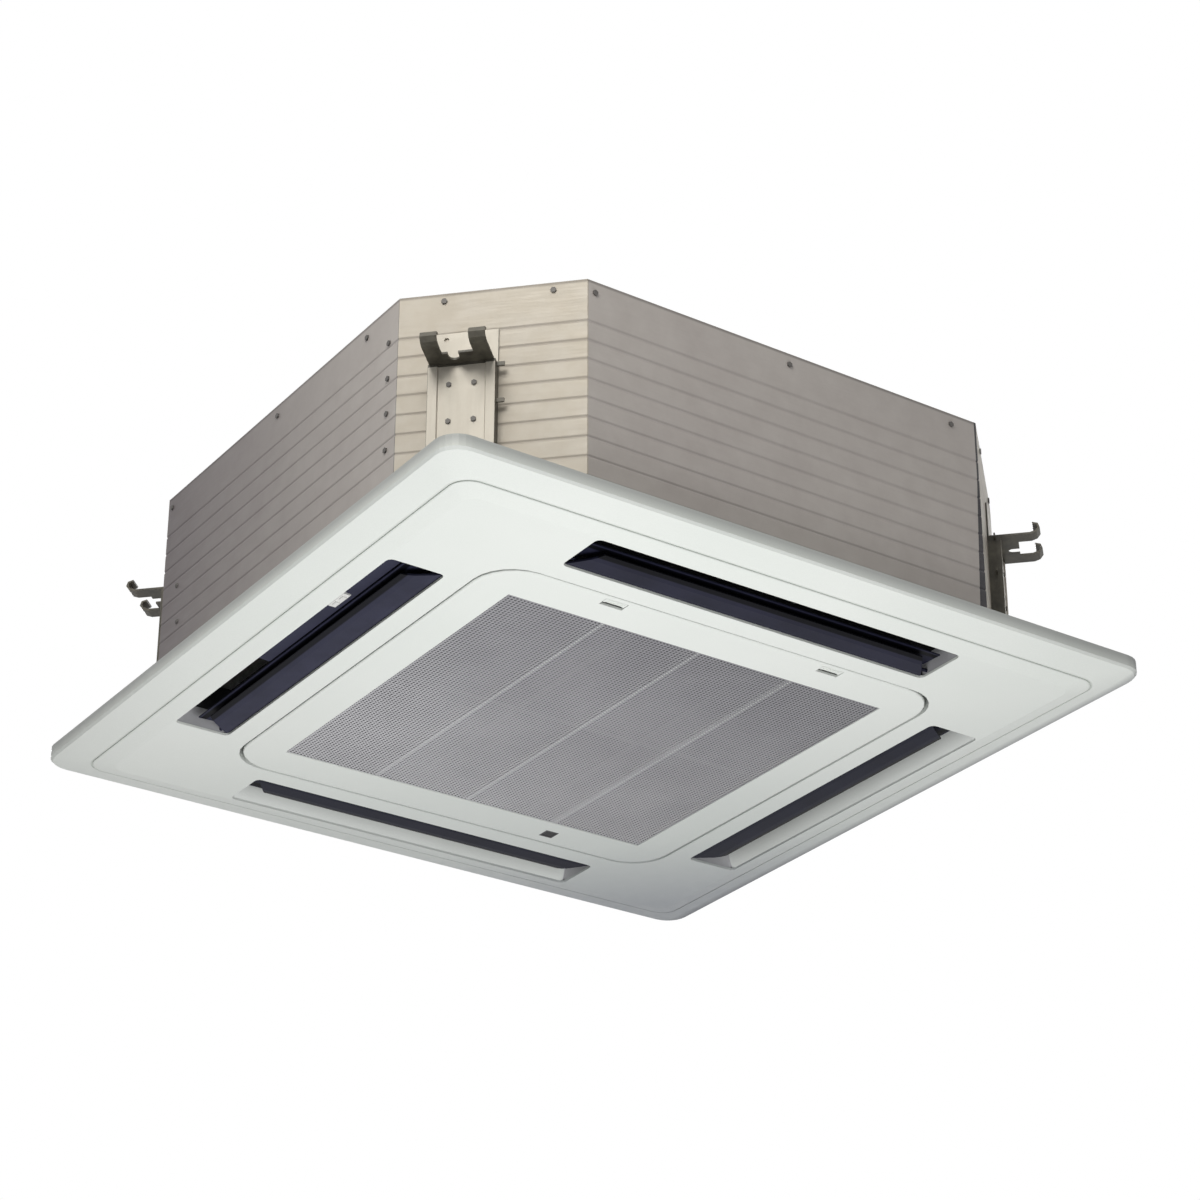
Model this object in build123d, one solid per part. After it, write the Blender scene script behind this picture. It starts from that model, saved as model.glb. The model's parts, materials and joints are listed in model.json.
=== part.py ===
from build123d import *
import os
from math import cos, pi, radians, sin, sqrt, tan

# A ceiling cassette air conditioner, in millimetres. The origin is the centre of the panel's
# room-side face, +Z points up to the ceiling, and -Y is the edge where the intake grille opens.
# Parts that repeat on the four sides are drawn once on the -Y side and turned about Z.

# ---- driving dimensions ----------------------------------------------------------------------

# decorative panel
PANEL_HALF = 475.0
PANEL_RADIUS = 28.0
PANEL_SKIN = 3.0
CEILING_Z = 30.0
FLAT_HALF = 413.0
FLAT_RADIUS = 18.0
ARRIS_HALF = 472.8
ARRIS_Z = 13.0
LIP_Z = 16.0
GROOVE_HALF = 436.0
GROOVE_WIDTH = 1.6
GROOVE_TOP_Z = 6.2

# intake opening and its grille
OPENING_HALF = 310.5
OPENING_RADIUS = 51.0
CORNER_FLATS = 6
GRILLE_HALF = 307.5
GRILLE_RADIUS = 53.0
WINDOW_X = 259.0
WINDOW_Y = 250.0
MESH_LOW_Z = 1.2
MESH_THICK = 1.2
MESH_COLUMNS = 8
MESH_ROWS = 6
MESH_BAR = 5.0
GRILLE_RIB_X = 130.0
GRILLE_RIB_TOP_Z = 6.0
FILTER_TOP_Z = 10.5
NET_THICK = 0.8
HINGE_Y = 304.5
HINGE_Z = 3.2
HINGE_X = 200.0
HINGE_PIN_R = 1.2
LUG_R = 2.1
LATCH_X = 150.0
LATCH_Y = -296.0
WINDOW_EYE = (143.0, 282.0)
EYE_SIZE = 13.0

# air outlets and louvers, measured outwards from the centre (u) and along the side (x)
SLOT_IN = 339.0
SLOT_OUT = 410.0
SLOT_HALF = 249.0
SLOT_RADIUS = 7.0
DUCT_IN = 337.5
DUCT_TOP_Z = 28.2
DUCT_WALL = 3.0
PIVOT_U = 348.0
PIVOT_Z = 7.0
PIVOT_R = 2.0
PIN_SIDES = 10
PIN_GAP = 0.05
BLADE_HALF = 245.0
BLADE_CUT = 27.0
BLADE_IN = 341.5
BLADE_OUT = 378.0
BLADE_THICK = 2.2
VANE_HALF = 242.0
VANE_IN = 350.0
VANE_OUT = 382.0
VANE_Z = 12.0
WEB_X = (-206.0, -82.0, 80.0, 204.0)

# sheet-metal casing, an octagon in plan whose centre is a little off the panel's
CASING_HALF = 427.0
CASING_SHIFT = 7.0
CHAMFER_LEG = 150.0
CASING_TOP_Z = 314.0
SHEET = 1.2
BEAD_PITCH = 24.3
BEAD_FIRST_Z = 42.0
BEAD_COUNT = 10
BEAD_DEPTH = 0.7
BEAD_HALF_WIDTH = 2.2
FLANGE = 8.0

# suspension hooks; the rod pattern is about the casing's centre
ROD_X = 397.0
ROD_Y = 347.0
ROD_SLOT_R = 6.0
BRACKET_ALONG = 30.0
SHELF_Z = 213.0
SHELF_THICK = 2.5
SHELF_HALF = 36.0
SHELF_REACH = 36.0
PRONG_IN = 17.5
CHANNEL_HALF = 37.7
CHANNEL_DEPTH = 16.0
CHANNEL_TOP_Z = 260.0
CHANNEL_LOW_Z = 33.0
CHANNEL_SHEET = 2.0
CHANNEL_STEP = 1.8
RIVET_Z = (187.0, 141.0)
SEAM_SCREW_Z = (266.0, 220.0, 175.0, 129.0)

# air path inside
PAN_LOW_Z = 31.2
PAN_TOP_Z = 92.0
FRAME_TOP_Z = 62.0
TRAY_IN = 222.0
TRAY_LEDGE = 236.0
TRAY_OUT = 300.0
TRAY_LEG = 40.0
TRAY_IN_LEG = 14.0
BELL_LEG = 30.0
TROUGH_FLOOR_Z = 62.0
COIL_IN = 240.0
COIL_OUT = 282.0
COIL_TOP_Z = 298.0
COIL_WALL = 4.0
FIN_PITCH = 75.0
FINS_EACH_WAY = 2
COIL_GAP = 190.0
BELL_HALF = 234.0
BELL_Z = 55.5
BELL_THICK = 2.5
THROAT_R = 140.0
THROAT_TOP_Z = 88.0
ENTRY_R = 172.0

# fan and motor
FAN_R = 195.0
FAN_LOW_Z = 84.0
FAN_TOP_Z = 240.0
FAN_EYE_R = 148.0
FAN_WALL = 2.5
BLADE_COUNT = 7
BLADE_CURVE_R = 115.0
HUB_LOW_Z = 172.0
SHAFT_R = 6.0
MOTOR_R = 72.0
BUSH_CIRCLE_R = 84.0

# drainage, control box and services; places on the (+X, +Y) chamfer are (along, z)
PUMP_XY = (263.2, 268.8)
PUMP_R = 24.0
PUMP_SIDES = 16
FLOAT_XY = (224.0, 262.0)
STEM_R = 4.0
DRAIN_AT = (26.0, 112.0)
DRAIN_R = 16.0
LIQUID_AT = (42.0, 172.0)
GAS_AT = (78.0, 172.0)
LIQUID_R = 5.0
GAS_R = 8.0
CABLE_AT = (60.0, 224.0)
CABLE_R = 10.0
COVER_THICK = 2.0
CONTROL_X = (-190.0, 150.0)
CONTROL_Y = (-290.5, -245.5)
CONTROL_TOP_Z = 58.0

SIDES = ("front", "right", "back", "left")
ROOT_2 = sqrt(2)
ROUND_SIDES = 24
BODY_DIAGONAL = (2 * CASING_HALF - CHAMFER_LEG) / ROOT_2
SERVICE_DIAGONAL = BODY_DIAGONAL + CASING_SHIFT * ROOT_2


# ---- helpers ---------------------------------------------------------------------------------


def block(x0, x1, y0, y1, z0, z1):
    """A box between two corners."""
    return Pos((x0 + x1) / 2, (y0 + y1) / 2, (z0 + z1) / 2) * Box(x1 - x0, y1 - y0, z1 - z0)


def slab(outline, z0, z1):
    """A flat outline raised from z0 to z1."""
    return extrude(Pos(0, 0, z0) * outline, z1 - z0)


def corner_points(half_x, half_y, radius, z, flats):
    """A rectangle's outline, each corner an arc drawn with a few flats."""
    points = []
    for turns, (side_x, side_y) in enumerate(((1, 1), (-1, 1), (-1, -1), (1, -1))):
        for step in range(flats + 1):
            angle = radians(90 * (turns + step / flats))
            x = side_x * (half_x - radius) + radius * cos(angle)
            y = side_y * (half_y - radius) + radius * sin(angle)
            points.append((x, y, z))
    return points


def square(half, radius, flats=CORNER_FLATS):
    """A square with rounded corners."""
    return make_face(Polyline(*corner_points(half, half, radius, 0, flats), close=True))


def frustum(half_low, radius_low, z_low, half_high, radius_high, z_high, flats=CORNER_FLATS):
    """A solid with flat sides between two rounded squares."""
    low = corner_points(half_low, half_low, radius_low, z_low, flats)
    high = corner_points(half_high, half_high, radius_high, z_high, flats)
    rings = [low, high]
    for index in range(len(low)):
        rings.append([low[index - 1], low[index], high[index], high[index - 1]])
    return Solid(Shell([make_face(Polyline(*ring, close=True)) for ring in rings]))


def chamfered(half, leg):
    """A square with its corners cut off."""
    flat = half - leg
    points = [(-flat, -half), (flat, -half), (half, -flat), (half, flat)]
    points += [(-x, -y) for x, y in points]
    return make_face(Polyline(*points, close=True))


def octagon(inset=0.0):
    """The casing's plan outline about its own centre, moved inwards by inset."""
    return chamfered(CASING_HALF - inset, CHAMFER_LEG - inset * (1 - tan(radians(22.5))))


def at_casing(shape):
    """Moves what is drawn about the casing's centre to its place over the panel."""
    return Pos(CASING_SHIFT, CASING_SHIFT, 0) * shape


def rod(radius, start, end):
    """A round bar from one point to another."""
    axis = Vector(*end) - Vector(*start)
    return extrude(Plane(origin=start, z_dir=axis) * Circle(radius), axis.length)


def prism(sides, radius, start, end):
    """A bar with flat sides, its corners on the given radius: what repeats stays light."""
    axis = Vector(*end) - Vector(*start)
    return extrude(Plane(origin=start, z_dir=axis) * RegularPolygon(radius, sides), axis.length)


def pin_hole(pin_radius, start, end):
    """A many-sided hole that a pin of this radius turns freely in."""
    return prism(PIN_SIDES, (pin_radius + PIN_GAP) / cos(pi / PIN_SIDES), start, end)


def round_hole(radius, start, end):
    """A hole drawn with enough flats to sit close round a bar of this radius."""
    sides = 24
    return prism(sides, radius / cos(pi / sides), start, end)


def turned(points):
    """A hidden round form about Z, drawn with flat sides, from its (radius, z) half section."""
    reach = 2 * PANEL_HALF
    width = reach * tan(pi / ROUND_SIDES)
    bar = extrude(Plane.XZ * make_face(Polyline(*points, close=True)), width, both=True)
    wedge = make_face(Polyline((0, 0), (reach, -width), (reach, width), close=True))
    side = bar & slab(wedge, 0, reach)
    sides = [side.rotate(Axis.Z, 360 * index / ROUND_SIDES) for index in range(ROUND_SIDES)]
    return sides[0].fuse(*sides[1:])


def along_side(points, x0, x1):
    """A section given as (u, z) points, run along the -Y side from x0 to x1."""
    outline = make_face(Polyline(*points, close=True))
    plane = Plane(origin=(x0, 0, 0), x_dir=(0, -1, 0), z_dir=(-1, 0, 0))
    return extrude(plane * outline, -(x1 - x0))


def quarter(shape, turns):
    """The shape turned about Z by quarter turns, from the -Y side to side number turns."""
    return shape.rotate(Axis.Z, 90 * turns)


def group(solids):
    """Separate solids that share one node."""
    return Compound(children=list(solids))


def save(name, shape):
    export_step(shape, f"parts/{name}.step")


# ---- decorative panel ------------------------------------------------------------------------


def panel_body(inset, low_z, high_z):
    """The panel's outer form, sloping up to its lip, shrunk by inset for the inside."""
    radius = PANEL_RADIUS - inset
    lip = PANEL_HALF - inset
    slope = frustum(FLAT_HALF, FLAT_RADIUS, low_z, ARRIS_HALF - inset, radius, ARRIS_Z + low_z)
    bullnose = frustum(ARRIS_HALF - inset, radius, ARRIS_Z + low_z, lip, radius, LIP_Z + low_z)
    return slope + bullnose + slab(square(lip, radius), LIP_Z + low_z, high_z)


def panel_face():
    shell = panel_body(0, 0, CEILING_Z) - panel_body(PANEL_SKIN, PANEL_SKIN, CEILING_Z + 1)
    shell += slab(square(OPENING_HALF + PANEL_SKIN, OPENING_RADIUS + PANEL_SKIN), PANEL_SKIN, DUCT_TOP_Z)
    shell -= slab(square(OPENING_HALF, OPENING_RADIUS), -1, CEILING_Z)
    groove = square(GROOVE_HALF + GROOVE_WIDTH / 2, 25) - square(GROOVE_HALF - GROOVE_WIDTH / 2, 24)
    shell -= slab(groove, -1, GROOVE_TOP_Z)
    slot = corner_points(SLOT_HALF, (SLOT_OUT - SLOT_IN) / 2, SLOT_RADIUS, 0, 3)
    slot = make_face(Polyline(*slot, close=True))
    slot_cut = slab(Pos(0, -(SLOT_IN + SLOT_OUT) / 2) * slot, -1, PANEL_SKIN + 1)
    for turns in range(4):
        shell -= quarter(slot_cut, turns)
    shell += panel_gussets()
    for x in (-HINGE_X, HINGE_X):
        shell += hinge_lug(x)
    return shell


def panel_gussets():
    """Triangular plates across the corners of the opening, each with its fixing-screw hole."""
    reach = 262.0
    low_z = 22.0
    corner = OPENING_HALF + 1
    plates = []
    for turns in range(4):
        outline = make_face(
            Polyline((reach, corner), (corner, reach), (corner, corner), close=True)
        )
        inside = square(OPENING_HALF + 1, OPENING_RADIUS)
        plate = slab(outline & inside, low_z, low_z + PANEL_SKIN)
        plate -= prism(8, 3.0, (283, 283, 0), (283, 283, CEILING_Z))
        plates.append(quarter(plate, turns))
    return plates[0] + plates[1] + plates[2] + plates[3]


def hinge_lug(x):
    """A bridge and a round-ended tab that carry one grille hinge pin."""
    half = 4.0
    bridge = block(x - half, x + half, HINGE_Y - LUG_R, OPENING_HALF + 1, 14, 18)
    tab = block(x - half, x + half, HINGE_Y - LUG_R, HINGE_Y + LUG_R, HINGE_Z, 15)
    eye = prism(PIN_SIDES, LUG_R, (x - half, HINGE_Y, HINGE_Z), (x + half, HINGE_Y, HINGE_Z))
    hole = pin_hole(HINGE_PIN_R, (x - 9, HINGE_Y, HINGE_Z), (x + 9, HINGE_Y, HINGE_Z))
    return bridge + tab + eye - hole


def panel_screws():
    """Washer-head screws that pull the panel up to the corner brackets of the pan."""
    screws = []
    for turns in range(4):
        head = prism(6, 6.0, (283, 283, 18), (283, 283, 22))
        shank = prism(6, 2.5, (283, 283, 21), (283, 283, PAN_LOW_Z))
        screws.append(quarter(head + shank, turns))
    return group(screws)


# ---- air outlets -----------------------------------------------------------------------------


def outlet_duct():
    """The white frame behind one slot: a straight inner wall and an outer wall that curves out."""
    low = PANEL_SKIN
    outer_top = SLOT_OUT - 6.0
    mouth = SLOT_OUT + 0.5
    end = SLOT_HALF + 0.5
    wall = DUCT_WALL
    body = block(-end - wall, end + wall, -FLAT_HALF, -(DUCT_IN - wall), low, DUCT_TOP_Z)
    passage = Polyline((mouth, low - 1), (DUCT_IN, low - 1), (DUCT_IN, DUCT_TOP_Z + 1))
    passage += Line((DUCT_IN, DUCT_TOP_Z + 1), (outer_top, DUCT_TOP_Z + 1))
    passage += ThreePointArc((outer_top, DUCT_TOP_Z + 1), (outer_top + 1.5, 14), (mouth, low - 1))
    plane = Plane(origin=(-end, 0, 0), x_dir=(0, -1, 0), z_dir=(-1, 0, 0))
    body -= extrude(plane * make_face(passage), -2 * end)
    body -= pin_hole(PIVOT_R, (-end - 5, -PIVOT_U, PIVOT_Z), (end + 5, -PIVOT_U, PIVOT_Z))
    return body


def outlet_seal():
    """A foam frame pressed between one outlet duct and the duct above it."""
    end = SLOT_HALF + 0.5
    inner = block(-end, end, -(SLOT_OUT - 6), -DUCT_IN, DUCT_TOP_Z - 1, PAN_LOW_Z + 1)
    outer = block(-end - 3, end + 3, -(SLOT_OUT + 1), -(DUCT_IN - 3), DUCT_TOP_Z, PAN_LOW_Z)
    return outer - inner


def louver():
    """A lower blade flush with the panel, its ends cut slanting, and a guide vane on webs above."""
    lip = BLADE_OUT - 6
    bottom = [(BLADE_IN, 1.6), (BLADE_IN + 6, 1.1), (lip - 7, 1.1), (lip, 1.9), (BLADE_OUT, 3.6)]
    top = [(BLADE_OUT, 5.0), (lip, 4.1), (lip - 7, 1.1 + BLADE_THICK), (BLADE_IN, 1.1 + BLADE_THICK)]
    blade = along_side(bottom + top, -BLADE_HALF, BLADE_HALF)
    plan = [(BLADE_HALF, 0), (BLADE_HALF, -BLADE_IN - 1), (BLADE_HALF - BLADE_CUT, -BLADE_OUT - 1)]
    plan += [(-x, y) for x, y in plan[::-1]]
    blade &= slab(make_face(Polyline(*plan, close=True)), 0, 10)
    vane = [(VANE_IN, VANE_Z), (VANE_OUT, VANE_Z - 1.5), (VANE_OUT, VANE_Z), (VANE_IN, VANE_Z + 2)]
    body = blade + along_side(vane, -VANE_HALF, VANE_HALF)
    web = [(VANE_IN - 4, 2), (VANE_IN + 12, 2), (VANE_IN + 10, VANE_Z), (VANE_IN + 1, VANE_Z + 1)]
    for x in WEB_X:
        body += along_side(web, x, x + 2)
    ear = [(PIVOT_U - 3, 2), (PIVOT_U + 3, 2), (PIVOT_U + 2, PIVOT_Z + 3), (PIVOT_U - 2, PIVOT_Z + 3)]
    inner = BLADE_HALF - 9
    end = SLOT_HALF + 0.5 + DUCT_WALL
    for near, far, foot in ((-end, -inner, -inner - 1), (inner, end + 5, inner - 1)):
        body += prism(PIN_SIDES, PIVOT_R, (near, -PIVOT_U, PIVOT_Z), (far, -PIVOT_U, PIVOT_Z))
        body += along_side(ear, foot, foot + 2)
    return body


def louver_motor():
    """A small stepping motor with an offset shaft boss, on two ears on the duct's end wall."""
    face = SLOT_HALF + 0.5 + DUCT_WALL
    centre_z = PIVOT_Z + 6
    can = prism(8, 9.8, (face, -PIVOT_U, centre_z), (face + 15, -PIVOT_U, centre_z))
    ears = block(face, face + 1.5, -PIVOT_U - 15, -PIVOT_U + 15, centre_z - 3, centre_z + 3)
    terminal = block(face + 3, face + 15, -PIVOT_U - 6, -PIVOT_U + 6, centre_z + 8, centre_z + 13)
    bore = pin_hole(PIVOT_R, (face - 1, -PIVOT_U, PIVOT_Z), (face + 5.5, -PIVOT_U, PIVOT_Z))
    return can + ears + terminal - bore


# ---- intake grille ---------------------------------------------------------------------------


def grille_frame():
    skin = frustum(GRILLE_HALF - 1, GRILLE_RADIUS - 1, 0, GRILLE_HALF, GRILLE_RADIUS, 1)
    skin += slab(square(GRILLE_HALF, GRILLE_RADIUS), 1, PANEL_SKIN)
    rib_out = GRILLE_HALF - 3
    rib = square(rib_out, GRILLE_RADIUS - 3) - square(rib_out - 2.5, GRILLE_RADIUS - 5.5)
    frame = skin + slab(rib, PANEL_SKIN, GRILLE_RIB_TOP_Z)
    frame -= block(-WINDOW_X, WINDOW_X, -WINDOW_Y, WINDOW_Y, -1, GRILLE_RIB_TOP_Z)
    rebate = 3.0
    frame -= block(
        -WINDOW_X - rebate, WINDOW_X + rebate, -WINDOW_Y - rebate, WINDOW_Y + rebate, MESH_LOW_Z, PANEL_SKIN + 5
    )
    mesh_top = MESH_LOW_Z + MESH_THICK
    for x in (-GRILLE_RIB_X, 0, GRILLE_RIB_X):
        frame += block(x - 3, x + 3, -WINDOW_Y - rebate, WINDOW_Y + rebate, mesh_top, GRILLE_RIB_TOP_Z)
    for x in (-HINGE_X, HINGE_X):
        frame = hinge_cheeks(frame, x)
    for x in (-LATCH_X, LATCH_X):
        frame = latch_seat(frame, x)
    ex, ey = WINDOW_EYE
    frame -= block(ex - 6.5, ex + 6.5, ey - 6.5, ey + 6.5, -1, PANEL_SKIN + 1)
    return frame


def hinge_cheeks(frame, x):
    """Clears the panel's hinge tab and adds a cheek each side of it for the pin."""
    frame -= block(x - 9, x + 9, HINGE_Y - 4, HINGE_Y + 2, PANEL_SKIN, GRILLE_RIB_TOP_Z + 1)
    frame -= block(x - 4.5, x + 4.5, HINGE_Y - 4, HINGE_Y + 4, 0.8, GRILLE_RIB_TOP_Z)
    for side in (-1, 1):
        a, b = sorted((x + side * 4.5, x + side * 7.5))
        cheek = block(a, b, HINGE_Y - 3, HINGE_Y + 2.5, 1, HINGE_Z)
        cheek += prism(PIN_SIDES, 2.5, (a, HINGE_Y, HINGE_Z), (b, HINGE_Y, HINGE_Z))
        frame += cheek
    return frame - hinge_pin(x)


def latch_seat(frame, x):
    """The pocket that a latch slides in, with a rail each side that keeps it down."""
    frame -= block(x - 15, x + 15, LATCH_Y - 6, LATCH_Y + 9, -1, PANEL_SKIN + 1)
    frame -= block(x - 19, x + 19, LATCH_Y - 9.5, LATCH_Y + 9, PANEL_SKIN, GRILLE_RIB_TOP_Z + 1)
    for side in (-1, 1):
        a, b = sorted((x + side * 17.3, x + side * 19))
        frame += block(a, b, LATCH_Y - 5, LATCH_Y + 9, PANEL_SKIN, 6.5)
        a, b = sorted((x + side * 15.5, x + side * 19))
        frame += block(a, b, LATCH_Y - 5, LATCH_Y + 9, 5.3, 6.5)
    return frame


def latch(x):
    """A slide latch: a ribbed thumb piece below and a tongue plate above the frame."""
    thumb = block(x - 14, x + 14, LATCH_Y - 5, LATCH_Y + 3, 0.3, PANEL_SKIN + 0.5)
    for y in (-3.6, -0.6, 2.4):
        thumb -= block(x - 11, x + 11, LATCH_Y + y - 0.6, LATCH_Y + y + 0.6, 0, 0.9)
    plate = block(x - 17, x + 17, LATCH_Y - 6, LATCH_Y + 4, PANEL_SKIN + 0.1, 5.2)
    tongue = block(x - 9, x + 9, LATCH_Y - 10.5, LATCH_Y - 5, PANEL_SKIN + 0.1, 5.2)
    return thumb + plate + tongue


def grille_mesh():
    """The perforated sheet as an open grid of square holes."""
    edge = 2.8
    sheet = Rectangle(2 * (WINDOW_X + edge), 2 * (WINDOW_Y + edge))
    pitch_x = 2 * WINDOW_X / MESH_COLUMNS
    pitch_y = 2 * WINDOW_Y / MESH_ROWS
    hole = Rectangle(pitch_x - MESH_BAR, pitch_y - MESH_BAR)
    sheet -= GridLocations(pitch_x, pitch_y, MESH_COLUMNS, MESH_ROWS) * hole
    return slab(sheet, MESH_LOW_Z, MESH_LOW_Z + MESH_THICK)


def filter_frame():
    half_x = WINDOW_X + 2
    half_y = WINDOW_Y + 2
    bar = 8.0
    frame = block(-half_x, half_x, -half_y, half_y, GRILLE_RIB_TOP_Z, FILTER_TOP_Z)
    cell_x = (2 * half_x - 4 * bar) / 3
    cell_y = (2 * half_y - 3 * bar) / 2
    for column in range(3):
        for row in range(2):
            x0 = -half_x + bar + column * (cell_x + bar)
            y0 = -half_y + bar + row * (cell_y + bar)
            frame -= block(x0, x0 + cell_x, y0, y0 + cell_y, 0, FILTER_TOP_Z + 1)
    return frame


def filter_net():
    """Net panes held in the filter frame's cells."""
    half_x = WINDOW_X + 2
    half_y = WINDOW_Y + 2
    bar = 8.0
    cell_x = (2 * half_x - 4 * bar) / 3
    cell_y = (2 * half_y - 3 * bar) / 2
    panes = []
    for column in range(3):
        for row in range(2):
            x0 = -half_x + bar + column * (cell_x + bar)
            y0 = -half_y + bar + row * (cell_y + bar)
            panes.append(block(x0, x0 + cell_x, y0, y0 + cell_y, GRILLE_RIB_TOP_Z, GRILLE_RIB_TOP_Z + NET_THICK))
    return group(panes)


def receiver_window():
    ex, ey = WINDOW_EYE
    half = EYE_SIZE / 2
    lens = slab(Pos(ex, ey) * Rectangle(EYE_SIZE, EYE_SIZE), 0.2, PANEL_SKIN)
    return lens + block(ex - half - 1.5, ex + half + 1.5, ey - half - 1.5, ey + half + 1.5, PANEL_SKIN, 5)


def hinge_pin(x):
    return prism(PIN_SIDES, HINGE_PIN_R, (x - 7.5, HINGE_Y, HINGE_Z), (x + 7.5, HINGE_Y, HINGE_Z))


# ---- casing ----------------------------------------------------------------------------------


def sheet_profile():
    """The casing sheet's section as (depth, z): rolled beads and a foot flange turned inwards."""
    outline = [(FLANGE, CEILING_Z + SHEET), (FLANGE, CEILING_Z), (0, CEILING_Z)]
    for i in range(BEAD_COUNT):
        z = BEAD_FIRST_Z + i * BEAD_PITCH
        outline += [(0, z - BEAD_HALF_WIDTH), (BEAD_DEPTH, z), (0, z + BEAD_HALF_WIDTH)]
    return outline + [(0, CASING_TOP_Z), (SHEET, CASING_TOP_Z), (SHEET, CEILING_Z + SHEET)]


def sheet_run(length):
    """A stretch of sheet along +X from the origin, its outside on y = 0, mitred for the bends."""
    outline = make_face(Polyline(*sheet_profile(), close=True))
    plane = Plane(origin=(-20, 0, 0), x_dir=(0, 1, 0), z_dir=(1, 0, 0))
    run = extrude(plane * outline, length + 40)
    lean = radians(22.5)
    start = Plane(origin=(0, 0, 0), z_dir=(cos(lean), -sin(lean), 0))
    finish = Plane(origin=(length, 0, 0), z_dir=(-cos(lean), -sin(lean), 0))
    run = split(run, bisect_by=start, keep=Keep.TOP)
    return split(run, bisect_by=finish, keep=Keep.TOP)


def casing_panel():
    """One face and the chamfer at its -X end, bent from one sheet."""
    flat = CASING_HALF - CHAMFER_LEG
    face = sheet_run(2 * flat)
    chamfer_run = sheet_run(CHAMFER_LEG * ROOT_2)
    chamfer_run = chamfer_run.move(Pos(-CHAMFER_LEG * ROOT_2, 0, 0)).rotate(Axis.Z, -45)
    return Pos(-flat, -CASING_HALF, 0) * (face + chamfer_run)


def casing_top():
    """The top plate with a turned-down rim, pressed ribs and a raised motor seat."""
    top = slab(octagon(SHEET), CASING_TOP_Z - SHEET, CASING_TOP_Z)
    rim = slab(octagon(SHEET) - octagon(2 * SHEET), CASING_TOP_Z - 16, CASING_TOP_Z)
    plate = top + rim
    for index in range(8):
        length = 210 if index % 2 == 0 else 260
        press = extrude(Rectangle(length, 26), 2.4, taper=68)
        press = Pos(150 + length / 2, 0, 0) * press
        press = press.rotate(Axis.Z, 45 * index)
        plate += press.moved(Pos(0, 0, CASING_TOP_Z - 0.01))
        plate -= press.moved(Pos(0, 0, CASING_TOP_Z - SHEET - 0.01))
    return at_casing(plate)


def screw_head(x, y, z, nx, ny):
    """A hexagon head proud of a wall whose outward normal is (nx, ny)."""
    return prism(6, 3.6, (x, y, z), (x + nx * 1.8, y + ny * 1.8, z))


def casing_screws():
    """Sheet-metal screws along the top edge, on the chamfers and down the two seams."""
    screws = []
    flat = CASING_HALF - CHAMFER_LEG
    edge_z = CASING_TOP_Z - 15
    for turns in range(4):
        last_x = flat - 70 if turns == 3 else flat - 39
        row = [screw_head(x, -CASING_HALF, edge_z, 0, -1) for x in (-flat + 10, 0, last_x)]
        if turns % 2:
            row += [screw_head(flat - 20, -CASING_HALF, z, 0, -1) for z in SEAM_SCREW_Z]
        for along in (-68, 55):
            x = -(BODY_DIAGONAL + along) / ROOT_2
            y = -(BODY_DIAGONAL - along) / ROOT_2
            row.append(screw_head(x, y, edge_z + 5, -1 / ROOT_2, -1 / ROOT_2))
        screws += [at_casing(quarter(s, turns)) for s in row]
    return group(screws)


def hanger_bracket():
    """The hook at the (-X, -Y) chamfer, drawn with its outward direction along -Y at x = 0."""
    wall = CHANNEL_SHEET
    front = -CHANNEL_DEPTH
    web = front + CHANNEL_STEP
    half = [(26, web), (27.2, front), (CHANNEL_HALF, front), (CHANNEL_HALF, 0)]
    half += [(CHANNEL_HALF - wall, 0), (CHANNEL_HALF - wall, front + wall)]
    half += [(27.8, front + wall), (26.6, web + wall)]
    section = make_face(Polyline(*half, *[(-x, y) for x, y in half[::-1]], close=True))
    body = slab(section, CHANNEL_LOW_Z, SHELF_Z + 1)
    for z in (SHELF_Z, SHELF_Z - 46):
        body += block(CHANNEL_HALF - wall, CHANNEL_HALF + 9, -10, -8, z - 5, z)
    body += block(-CHANNEL_HALF, CHANNEL_HALF, -wall, 0, SHELF_Z, CHANNEL_TOP_Z)
    body -= prism(8, 3.0, (-20.7, 5, CHANNEL_TOP_Z - 8), (-20.7, -5, CHANNEL_TOP_Z - 8))
    shelf = Pos(0, -SHELF_REACH / 2) * Rectangle(2 * SHELF_HALF, SHELF_REACH)
    slot_x = BRACKET_ALONG - (ROD_X - ROD_Y) / ROOT_2
    slot_y = BODY_DIAGONAL - (ROD_X + ROD_Y) / ROOT_2
    shelf -= Pos(slot_x, slot_y) * Circle(ROD_SLOT_R)
    shelf -= Pos(slot_x, slot_y - SHELF_REACH / 2) * Rectangle(2 * ROD_SLOT_R, SHELF_REACH)
    body += slab(shelf, SHELF_Z, SHELF_Z + SHELF_THICK)
    return body + hook_prong(PRONG_IN, SHELF_HALF) + hook_prong(-SHELF_HALF, -PRONG_IN)


def hook_prong(x0, x1):
    """One side of the shelf carried on outwards, its tip curled up and back."""
    start = SHELF_REACH - 3
    low = [(start, 0), (52, 0), (59, 2.5), (63, 8), (61, 14), (54, 16)]
    high = [(54.5, 13.6), (59, 12.3), (60.4, 8.4), (57.5, 4.6), (51, SHELF_THICK), (start, SHELF_THICK)]
    return along_side([(out, SHELF_Z + rise) for out, rise in low + high], x0, x1)


def placed_bracket(right, back):
    """The bracket on one chamfer, with its slot on the rod pattern."""
    shape = Pos(-BRACKET_ALONG, -BODY_DIAGONAL, 0) * hanger_bracket()
    shape = shape.rotate(Axis.Z, -45)
    if right:
        shape = mirror(shape, Plane.YZ)
    if back:
        shape = mirror(shape, Plane.XZ)
    return at_casing(shape)


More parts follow.
